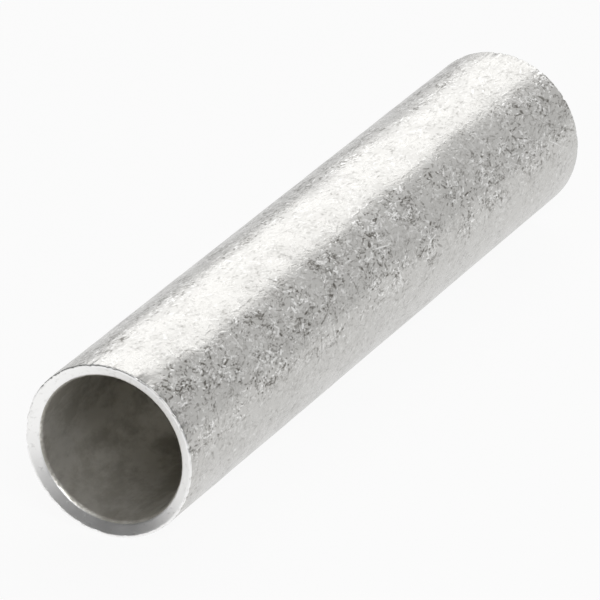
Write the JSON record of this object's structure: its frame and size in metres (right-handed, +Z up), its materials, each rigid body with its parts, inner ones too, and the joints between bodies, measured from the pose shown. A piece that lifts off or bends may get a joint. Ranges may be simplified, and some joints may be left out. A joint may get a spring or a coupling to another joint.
{
  "type": "butt splice connector",
  "caption": "Bare tinned copper butt splice: a seamless open sleeve with bevelled mouths, crimped over two conductors that meet end to end in its bore.",
  "frame": {"origin": "centre of the lower end, on the surface that the sleeve stands on", "axes": "+Z up along the bore's axis, from the lower end to the upper; X and Y across the sleeve, which is alike all round"},
  "size_m": [0.0102, 0.0102, 0.05],
  "materials": {
    "tinned_copper": "tumbled bright tin plate"
  },
  "bodies": {
    "root": {"sleeve": "tinned_copper"}
  },
  "joints": []
}
